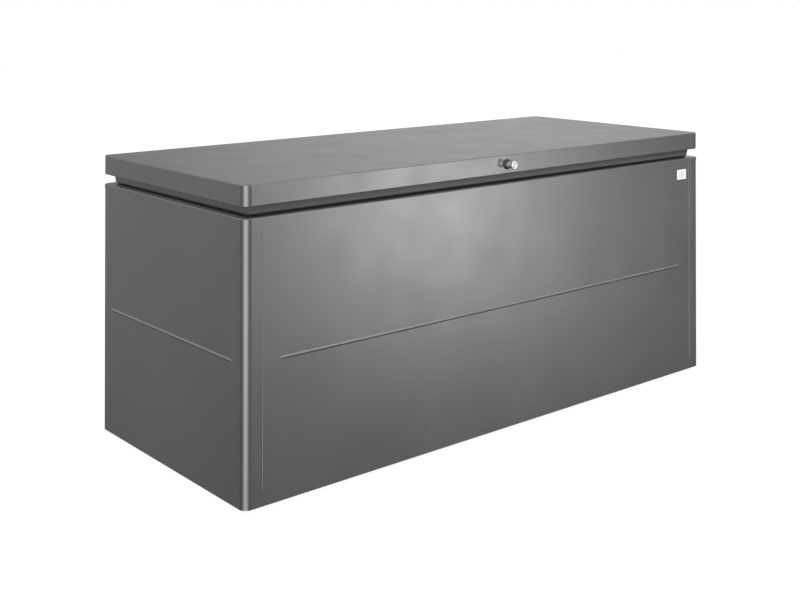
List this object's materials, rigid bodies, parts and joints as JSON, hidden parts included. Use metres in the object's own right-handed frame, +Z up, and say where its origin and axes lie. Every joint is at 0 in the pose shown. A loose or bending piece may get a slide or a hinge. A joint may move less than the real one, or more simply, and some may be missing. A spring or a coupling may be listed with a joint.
{
  "type": "deck storage box",
  "caption": "Low steel garden storage chest with a flat hinged lid on gas springs, an open shadow gap under the lid's cap and a turn-knob lock.",
  "frame": {"origin": "on the ground, under the middle of the floor", "axes": "+X to the right along the front, +Y to the back, +Z up; the front with the lock faces -Y"},
  "size_m": [2.005, 0.879, 0.882],
  "materials": {
    "coated_steel": "semi-gloss metallic dark grey coating",
    "galvanised": "hot-dip galvanised sheet, satin",
    "zinc_steel": "bright zinc plate",
    "seal_rubber": "matt",
    "glide_plastic": "matt",
    "badge_plastic": "satin, blank",
    "black_plastic": "fine matt",
    "knob_chrome": "polished",
    "spring_black": "semi-gloss black",
    "rod_chrome": "ground and polished"
  },
  "bodies": {
    "root": {"front_panel": "coated_steel", "rear_panel": "coated_steel", "left_side_panel": "coated_steel", "right_side_panel": "coated_steel", "front_top_rail": "coated_steel", "rear_top_rail": "coated_steel", "left_top_rail": "coated_steel", "right_top_rail": "coated_steel", "corner_posts": "galvanised", "front_base_rail": "galvanised", "rear_base_rail": "galvanised", "left_base_rail": "galvanised", "right_base_rail": "galvanised", "floor_panel": "galvanised", "floor_beams": "galvanised", "feet": "glide_plastic", "wall_stiffeners": "galvanised", "seam_bolts": "zinc_steel", "seam_nuts": "zinc_steel", "floor_screws": "zinc_steel", "badge": "badge_plastic", "left_striker": "zinc_steel", "right_striker": "zinc_steel", "left_hinge_body_leaf": "zinc_steel", "right_hinge_body_leaf": "zinc_steel", "hinge_pins": "zinc_steel", "hinge_body_screws": "zinc_steel", "spring_body_brackets": "zinc_steel", "left_lower_ball_stud": "zinc_steel", "right_lower_ball_stud": "zinc_steel", "lower_stud_nuts": "zinc_steel"},
    "lid": {"lid_skin": "coated_steel", "lid_front_neck": "coated_steel", "lid_rear_neck": "coated_steel", "lid_left_neck": "coated_steel", "lid_right_neck": "coated_steel", "lid_seal": "seal_rubber", "lid_stiffeners": "galvanised", "left_hinge_lid_leaf": "zinc_steel", "right_hinge_lid_leaf": "zinc_steel", "hinge_lid_screws": "zinc_steel", "spring_lid_brackets": "zinc_steel", "left_upper_ball_stud": "zinc_steel", "right_upper_ball_stud": "zinc_steel", "upper_stud_nuts": "zinc_steel", "lock_rosette": "black_plastic", "lock_barrel": "zinc_steel", "lock_nut": "zinc_steel", "latch_guides": "zinc_steel"},
    "lock_knob": {"lock_knob": "knob_chrome", "lock_cam": "zinc_steel"},
    "key_plug": {"key_plug": "knob_chrome"},
    "left_latch_rod": {"left_latch_rod": "zinc_steel"},
    "right_latch_rod": {"right_latch_rod": "zinc_steel"},
    "left_spring_tube": {"left_spring_tube": "spring_black", "left_spring_gland": "black_plastic"},
    "right_spring_tube": {"right_spring_tube": "spring_black", "right_spring_gland": "black_plastic"},
    "left_spring_rod": {"left_spring_rod": "rod_chrome"},
    "right_spring_rod": {"right_spring_rod": "rod_chrome"}
  },
  "joints": [
    {"name": "lid_hinge", "type": "hinge", "parent": "root", "child": "lid", "pos_m": [0, 0.404, 0.809], "axis": [-1, 0, 0], "range_deg": [0, 85], "stiffness_Nm_per_rad": 45.5, "springref_deg": 117.69},
    {"name": "knob_turn", "type": "hinge", "parent": "lid", "child": "lock_knob", "pos_m": [-0.01, -0.42, 0.852], "axis": [0, 1, 0], "range_deg": [0, 90]},
    {"name": "key_turn", "type": "hinge", "parent": "lock_knob", "child": "key_plug", "pos_m": [-0.01, -0.45, 0.852], "axis": [0, 1, 0], "range_deg": [0, 90]},
    {"name": "left_rod_slide", "type": "slide", "parent": "lid", "child": "left_latch_rod", "axis": [-1, 0, 0], "range_m": [0, 0.02263]},
    {"name": "right_rod_slide", "type": "slide", "parent": "lid", "child": "right_latch_rod", "axis": [1, 0, 0], "range_m": [0, 0.02263]},
    {"name": "left_spring_foot", "type": "hinge", "parent": "root", "child": "left_spring_tube", "pos_m": [-0.915, 0.27249, 0.53936], "axis": [-1, 0, 0], "range_deg": [0, 42.6]},
    {"name": "left_spring_head", "type": "hinge", "parent": "lid", "child": "left_spring_rod", "pos_m": [-0.915, 0.10564, 0.84036], "axis": [-1, 0, 0], "range_deg": [-42.6, 0]},
    {"name": "right_spring_foot", "type": "hinge", "parent": "root", "child": "right_spring_tube", "pos_m": [0.915, 0.27249, 0.53936], "axis": [-1, 0, 0], "range_deg": [0, 42.6]},
    {"name": "right_spring_head", "type": "hinge", "parent": "lid", "child": "right_spring_rod", "pos_m": [0.915, 0.10564, 0.84036], "axis": [-1, 0, 0], "range_deg": [-42.6, 0]}
  ],
  "couplings": [
    {"joint": "knob_turn", "follows": "left_rod_slide", "rad_per_m": 69.421},
    {"joint": "right_rod_slide", "follows": "left_rod_slide", "ratio": 1},
    {"joint": "left_spring_foot", "follows": "lid_hinge", "ratio": 0.5},
    {"joint": "left_spring_head", "follows": "lid_hinge", "ratio": -0.5},
    {"joint": "right_spring_foot", "follows": "lid_hinge", "ratio": 0.5},
    {"joint": "right_spring_head", "follows": "lid_hinge", "ratio": -0.5}
  ]
}
